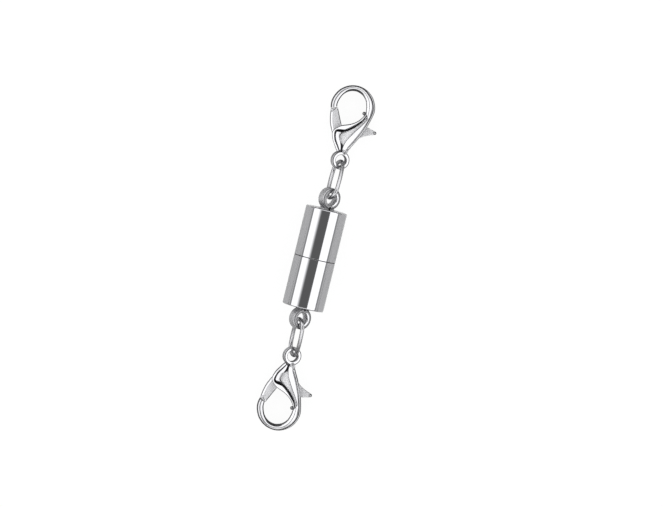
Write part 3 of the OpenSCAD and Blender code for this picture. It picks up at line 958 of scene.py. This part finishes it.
def gate_side_outline():
    """Outline of what the casting leaves free for the gate's end: up to the line through
    the gate's two top corners, moved up by the gap."""
    left, right = GATE_BACK[0], GATE_INNER[1]
    lean = (right[1] - left[1]) / (right[0] - left[0])
    x0, x1 = -4.6, -1.32
    return claw_rows([
        [x0, 5.6], [x1, 5.6],
        [x1, left[1] + GATE_GAP + lean * (x1 - left[0])],
        [x0, left[1] + GATE_GAP + lean * (x0 - left[0])],
    ])


def claw_matrix():
    """Matrix from the claw's own axes, with the eyelet's centre at 0, to its place."""
    eyelet_y = CLAW_LOW[1] + size("eyelet_diameter") / 2
    return Matrix.Translation((EYELET_X, eyelet_y, CLAW_Z))


def pin_half_length():
    """Half a pin's length: through half the lever, its gap and one seat."""
    return size("lever_thickness") / 2 + size("slot_gap") + size("pin_seat")


def pin_outline(gap):
    """Circle round the pivot pin, that gap larger in radius, on the claw's own axes."""
    x, y = ((PIN_LOW + PIN_HIGH) / 2 - np.array(claw_matrix().translation))[:2]
    return arc(x, y, (PIN_HIGH[0] - PIN_LOW[0]) / 2 + gap, 0, 360, 64)[:-1]


def make_claw_body(name):
    """Claw body as one casting on the claw's own axes, with the hook's opening for the
    gate, the lever's slot and the pin's seats cut out of it."""
    hole, rim = size("eyelet_hole") / 2, size("eyelet_diameter") / 2
    half = size("eyelet_thickness") / 2
    eyelet, faces = turned_ring([
        [hole, half - 0.12], [hole + 0.08, half - 0.02], [rim - 0.19, half],
        [rim - 0.14, half - 0.02], [rim, half - 0.12],
    ])
    turn = Matrix.Rotation(math.radians(EYELET_TURN_DEG), 4, "Y")
    nub = nub_shell()
    rail, rail_shares = rail_shell()
    made = make_object(name, [front_shell()])
    # Painted shade, by the groove share: in the front's groove, pit and edges, the rail's
    # channel, the eyelet's edges and hole, and over the nub.
    write_shares(made, *front_shares())
    for part, surface, shares in (
            ("rail", rail, rail_shares),
            ("eyelet", (move(eyelet, turn), faces),
             (ring_share(0.45, 1.0, 0.35), ring_share(0.4, 0.9, 0.9))),
            ("nub", nub, (np.full(len(nub[0]), 0.6),))):
        other = make_object(part, [surface])
        write_shares(other, *shares)
        joined(made, other)
    cut(made, gate_side_outline(), size("claw_thickness") * 2)
    cut(made, claw_rows(SLOT_OUTLINE), size("lever_thickness") + 2 * size("slot_gap"))
    cut(made, pin_outline(size("pin_fit")), 2 * (pin_half_length() + size("pin_fit")))
    return without_idle_points(made)


class CLASP_OT_claw_bodies(bpy.types.Operator):
    """Makes the cast bodies of both lobster claws"""

    bl_idname = "clasp.claw_bodies"
    bl_label = "Claw bodies"

    def execute(self, context):
        pattern = make_claw_body("claw_pattern")
        for side in SIDES:
            made = bpy.data.objects.new(f"lobster_claw_{side}", pattern.data.copy())
            context.scene.collection.objects.link(made)
            place(made, claw_matrix(), side)
            shade(made, 50)
            dress(made, f"{side}_half", f"claw_body_{side}", claw_plate())
        bpy.data.objects.remove(pattern)
        return {"FINISHED"}


def lever_shell():
    """Lever: its outline carried over the edge of each face, for t from 0 to 90 degrees
    inwards by r(1 - cos t) and down from the face by r(1 - sin t), and along the gate's
    back by the rows of BACK_CHAMFER. Also how dark each point is painted and how satin:
    painted shade along the gate's edges and where the hook's tip closes on it, and
    polished on the chamfer."""
    tip = claw_rows([TAB_TIP])[0]
    outline = np.vstack([
        smooth_rows(claw_rows(GATE_BACK), EDGE_STEPS),
        smooth_rows(claw_rows(TAB_UNDER), EDGE_STEPS),
        [tip - [0, TAB_HALF_END], tip + [0, TAB_HALF_END]],
        smooth_rows(claw_rows(TAB_TOP), EDGE_STEPS),
        claw_rows(GATE_INNER),
    ])
    outline = even_loop(eased(outline, 0.12), 0.07)
    ahead = np.roll(outline, -1, axis=0) - np.roll(outline, 1, axis=0)
    ahead /= np.linalg.norm(ahead, axis=1, keepdims=True)
    inward = np.stack([-ahead[:, 1], ahead[:, 0]], axis=1)
    on_back = soft_step(-outline[:, 0], 1.9, 2.5) * soft_step(inward[:, 0], 0.3, 0.8)
    on_back *= soft_step(-outline[:, 1], -claw_rows(GATE_BACK)[0, 1] + 0.1, -6.5)
    on_inner = soft_step(-inward[:, 0], 0.5, 0.8) * soft_step(-outline[:, 0], 0.9, 1.2)
    on_top = soft_step(-inward[:, 1], 0.6, 0.8) * soft_step(-outline[:, 0], 2.2, 2.3)
    on_inner *= soft_step(-outline[:, 1], -7.5, -7.2)
    radius = 0.08 + 0.12 * on_inner
    half = size("lever_thickness") / 2
    t = np.radians(np.linspace(0, 90, 9))
    back = np.array(BACK_CHAMFER).T[:, :, None] * on_back
    step_in = radius * (1 - np.cos(t))[:, None] * (1 - on_back) + back[0]
    lift = half - radius * (1 - np.sin(t))[:, None] * (1 - on_back) - back[1]
    flat = outline[None, :, :] + inward[None, :, :] * step_in[:, :, None]
    top = np.concatenate([flat, lift[:, :, None]], axis=2)
    bottom = np.concatenate([flat, -lift[:, :, None]], axis=2)[::-1]
    on_edge = (t < math.radians(75))[:, None]
    satin = 1 - on_back * on_edge
    # Painted shade along the gate's inner and top edges and on the back's chamfer.
    dark = 0.75 * np.maximum(on_inner, on_top) * on_edge
    dark += on_back * np.array([0.5, 0.5, 0.2, 0, 0, 0, 0, 0.5, 0])[:, None]
    shares = [np.concatenate([part[::-1], part], axis=0).ravel() for part in (dark, satin)]
    return shell(np.concatenate([bottom, top], axis=0)), shares


def bead_shell():
    """Bead on the thumb tab, standing up as high as the lever and a little more. For an
    angle t from pole to pole its radius goes as cos t to the power 0.6 and its height as
    sin t. Also how dark each point is painted: painted shade round its waist."""
    t = np.radians(np.linspace(-89, 89, 33))
    top = (size("lever_thickness") + size("bead")) / 2
    profile = np.stack([size("bead") / 2 * np.cos(t) ** 0.6, top * np.sin(t)], axis=1)
    points, faces = turned_solid(profile, BEAD_STEPS)
    x, y = claw_rows([TAB_TIP])[0]
    dark = np.repeat(soft_step(-abs(np.sin(t)), -0.95, -0.75), BEAD_STEPS)
    return points + [x, y, 0], faces, dark


class CLASP_OT_levers(bpy.types.Operator):
    """Makes the two levers, gate and thumb tab in one"""

    bl_idname = "clasp.levers"
    bl_label = "Levers"

    def execute(self, context):
        *bead, dark = bead_shell()
        lever, shares = lever_shell()
        half = size("lever_thickness") / 2
        for side in SIDES:
            made = make_object(f"gate_lever_{side}", [lever])
            write_shares(made, *shares)
            # The slit's walls are painted black, as shade in the slit.
            for lift in (half, -half):
                cut(made, claw_rows(SLIT_OUTLINE), 2 * SLIT_DEPTH, dark=1.0, lift=lift)
            cut(made, pin_outline(size("pin_play")), 2 * size("lever_thickness"))
            end = make_object("bead", [bead])
            write_shares(end, dark)
            joined(made, end)
            place(made, claw_matrix(), side)
            shade(made, 50)
            dress(made, f"{side}_lever", f"claw_lever_{side}", lever_plate())
        return {"FINISHED"}


def pin_shell():
    """Pivot pin turned about z, with a small chamfer at both ends."""
    radius, half, chamfer = (PIN_HIGH[0] - PIN_LOW[0]) / 2, pin_half_length(), 0.06
    return turned_solid([
        [AXIS_FLAT, -half], [radius - chamfer, -half], [radius, chamfer - half],
        [radius, half - chamfer], [radius - chamfer, half], [AXIS_FLAT, half],
    ], PIN_STEPS)


class CLASP_OT_pins(bpy.types.Operator):
    """Makes the hidden pivot pins of drawn wire"""

    bl_idname = "clasp.pins"
    bl_label = "Pivot pins"

    def execute(self, context):
        for side in SIDES:
            made = make_object(f"pivot_pin_{side}", [pin_shell()])
            place(made, Matrix.Translation((PIN_LOW + PIN_HIGH) / 2), side)
            shade(made, 30)
            dress(made, f"{side}_half", f"claw_pin_{side}", pin_wire())
        return {"FINISHED"}


# Stage, light and camera.

# The photograph's width and scale, how the clasp lies in it, and the camera's place.
IMAGE_WIDTH = 663
PIXELS_PER_MM = 6.75
LEAN_DEG = 13.8
CAMERA_TILT_DEG = 3.0
CAMERA_AWAY_MM = 600.0
SENSOR_MM = 36.0
AIM_X_MM, AIM_Y_MM, AIM_Z_MM = 1.587, 1.266, 2.5

# The light tent's strengths, from the ground up, and in its dark openings.
GROUND_LIGHT, HEM_LIGHT, DOME_LIGHT = 1.0, 0.6, 2.8
OPENING_LIGHT, END_LIGHT = 0.24, 0.045

# The floor's two sheets: name, depth below the ground in metres, the two colours of the
# fibres, and glow. Then how far they reach in metres, the fibres' size, and the grey
# cards' colour and where they begin and are full along the clasp.
SHEETS = (
    ("paper", 0.0, "383838", "454545", 0.94),
    ("paper_in_mirrors", 0.00002, "C8C8C8", "CBCBCB", 0.0),
)
FLOOR_REACH = 2.0
FIBRE_MM = 0.4
CARD_COLOUR = "7D7D7D"
CARD_FROM_MM, CARD_FULL_MM = 14, 17


def make_world():
    """A tent of light: a grey hem near the ground, a bright dome over it, a dark opening
    for the camera overhead and black openings beyond the clasp's two ends. Each of them
    is a share of 0 to 1 by the direction (x, y, z) that is looked in: by its lean across
    the clasp, the angle of x to z, its lean along the clasp, the angle of y to z, its
    height z and how much of its reach over the ground points to an end."""
    world = bpy.data.worlds.new("light_tent")
    world.use_nodes = True
    world.node_tree.nodes.clear()
    direction = add_node(world, "ShaderNodeTexCoord").outputs["Generated"]
    split = add_node(world, "ShaderNodeSeparateXYZ", {"Vector": direction})
    found = {name: split.outputs[i] for i, name in enumerate("xyz")}
    deg = math.radians
    for name, operation, first, second in (
            ("across", "ARCTAN2", "x", "z"),
            ("turned", "ARCTAN2", "y", "z"),
            ("along", "ABSOLUTE", "turned", 0.0),
            ("x_square", "MULTIPLY", "x", "x"),
            ("y_square", "MULTIPLY", "y", "y"),
            ("squares", "ADD", "x_square", "y_square"),
            ("reach", "POWER", "squares", 0.5),
            ("aside", "ABSOLUTE", "y", 0.0),
            ("toward_end", "DIVIDE", "aside", "reach")):
        found[name] = add_node(world, "ShaderNodeMath", {
            0: found[first], 1: found.get(second, second)}, operation=operation).outputs[0]
    for name, source, low, high, start, end in (
            ("left", "across", deg(-41), deg(-20), 0.0, 1.0),
            ("right", "across", deg(22.5), deg(26), 1.0, 0.0),
            ("near", "along", deg(22), deg(30), 1.0, 0.0),
            ("hem", "z", math.sin(deg(8)), math.sin(deg(11)), 0.0, 1.0),
            ("dome", "z", math.sin(deg(18.5)), math.sin(deg(21)), 0.0, 1.0),
            ("end", "toward_end", math.cos(deg(46)), math.cos(deg(34)), 0.0, 1.0),
            ("end_top", "z", math.sin(deg(29)), math.sin(deg(35)), 1.0, 0.0),
            ("end_foot", "z", math.sin(deg(8)), math.sin(deg(13)), 0.0, 1.0)):
        found[name] = add_node(world, "ShaderNodeMapRange", {
            "Value": found[source], "From Min": low, "From Max": high, "To Min": start,
            "To Max": end}, interpolation_type="SMOOTHSTEP").outputs["Result"]
    for name, first, second in (
            ("sides", "left", "right"), ("opening", "sides", "near"),
            ("end_below", "end", "end_top"), ("ends", "end_below", "end_foot")):
        found[name] = add_node(world, "ShaderNodeMath", {
            0: found[first], 1: found[second]}, operation="MULTIPLY").outputs[0]
    level = GROUND_LIGHT
    for share, light in (("hem", HEM_LIGHT), ("dome", DOME_LIGHT),
                         ("opening", OPENING_LIGHT), ("ends", END_LIGHT)):
        level = add_node(world, "ShaderNodeMix", {
            0: found[share], 2: level, 3: light}).outputs[0]
    tent = add_node(world, "ShaderNodeBackground", {
        "Color": to_linear("FFFFFF"), "Strength": level})
    add_node(world, "ShaderNodeOutputWorld", {"Surface": tent.outputs[0]})
    bpy.context.scene.world = world


def make_floor():
    """White paper, in two sheets. The sheet that the camera sees glows a little, as a
    light table does, and the one that the metal mirrors has grey cards beyond the clasp's
    two ends."""
    corners = np.array([[-1, -1], [1, -1], [1, 1], [-1, 1]]) * FLOOR_REACH
    for name, depth, dark, light, glow in SHEETS:
        mesh = bpy.data.meshes.new(name)
        mesh.from_pydata([(x, y, -depth) for x, y in corners], [], [(0, 1, 2, 3)])
        sheet = bpy.data.objects.new(name, mesh)
        bpy.context.scene.collection.objects.link(sheet)
        paper = new_material(name)
        place_in = add_node(paper, "ShaderNodeTexCoord").outputs["Object"]
        fibres = add_node(paper, "ShaderNodeTexNoise", {
            "Vector": place_in, "Scale": 1 / (FIBRE_MM * MM), "Detail": 2.0}).outputs["Fac"]
        tone = add_node(paper, "ShaderNodeMix", {
            0: fibres, 6: to_linear(dark), 7: to_linear(light)}, data_type="RGBA").outputs[2]
        if depth > 0:
            y = add_node(paper, "ShaderNodeSeparateXYZ", {"Vector": place_in}).outputs[1]
            far = add_node(paper, "ShaderNodeMath", {0: y}, operation="ABSOLUTE").outputs[0]
            card = add_node(paper, "ShaderNodeMapRange", {
                "Value": far, "From Min": CARD_FROM_MM * MM,
                "From Max": CARD_FULL_MM * MM}).outputs["Result"]
            tone = add_node(paper, "ShaderNodeMix", {
                0: card, 6: tone, 7: to_linear(CARD_COLOUR)}, data_type="RGBA").outputs[2]
        diffuse = add_node(paper, "ShaderNodeBsdfDiffuse", {"Color": tone})
        glowing = add_node(paper, "ShaderNodeEmission", {"Strength": glow})
        both = add_node(paper, "ShaderNodeAddShader", {
            0: diffuse.outputs[0], 1: glowing.outputs[0]})
        add_node(paper, "ShaderNodeOutputMaterial", {"Surface": both.outputs[0]})
        mesh.materials.append(paper)
        sheet.visible_glossy = depth > 0
        sheet.visible_camera = depth == 0
        sheet.visible_diffuse = depth > 0
        sheet.visible_shadow = depth > 0


def make_camera():
    """Camera over the clasp, rolled so that the clasp leans as in the photograph, with
    a long lens: lens / sensor = distance / width of the view."""
    lens = bpy.data.cameras.new("camera")
    lens.sensor_width = SENSOR_MM
    view_width = IMAGE_WIDTH / PIXELS_PER_MM
    lens.lens = SENSOR_MM * CAMERA_AWAY_MM / view_width
    lens.clip_start, lens.clip_end = 0.01, 10.0
    camera = bpy.data.objects.new("camera", lens)
    bpy.context.scene.collection.objects.link(camera)
    turn = (Matrix.Rotation(math.radians(-CAMERA_TILT_DEG), 4, "X")
            @ Matrix.Rotation(math.radians(LEAN_DEG), 4, "Z"))
    aim = Matrix.Translation((AIM_X_MM * MM, AIM_Y_MM * MM, AIM_Z_MM * MM))
    camera.matrix_world = aim @ turn @ Matrix.Translation((0, 0, CAMERA_AWAY_MM * MM))
    bpy.context.scene.camera = camera


class CLASP_OT_stage(bpy.types.Operator):
    """Makes the paper, the light tent and the camera"""

    bl_idname = "clasp.stage"
    bl_label = "Stage"

    def execute(self, context):
        context.scene.view_settings.view_transform = "Standard"
        make_world()
        make_floor()
        make_camera()
        return {"FINISHED"}


class CLASP_PT_panel(bpy.types.Panel):
    """Sizes, finishes and pieces of the clasp"""

    bl_label = "Magnetic clasp"
    bl_idname = "CLASP_PT_panel"
    bl_space_type = "VIEW_3D"
    bl_region_type = "UI"
    bl_category = "Clasp"

    def draw(self, context):
        for group in (context.scene.clasp_sizes, context.scene.clasp_finishes):
            box = self.layout.box()
            for name in group.__annotations__:
                box.prop(group, name)
        for operator in OPERATORS:
            self.layout.operator(operator.bl_idname)


OPERATORS = (
    CLASP_OT_stage, CLASP_OT_barrels, CLASP_OT_magnets, CLASP_OT_jump_rings,
    CLASP_OT_claw_bodies, CLASP_OT_levers, CLASP_OT_pins,
)
CLASSES = (ClaspSizes, ClaspFinishes, *OPERATORS, CLASP_PT_panel)


def register():
    for each in CLASSES:
        bpy.utils.register_class(each)
    bpy.types.Scene.clasp_sizes = bpy.props.PointerProperty(type=ClaspSizes)
    bpy.types.Scene.clasp_finishes = bpy.props.PointerProperty(type=ClaspFinishes)


def unregister():
    del bpy.types.Scene.clasp_finishes
    del bpy.types.Scene.clasp_sizes
    for each in reversed(CLASSES):
        bpy.utils.unregister_class(each)


def main():
    register()
    for operator in OPERATORS:
        group, name = operator.bl_idname.split(".")
        getattr(getattr(bpy.ops, group), name)()


if __name__ == "__main__":
    main()
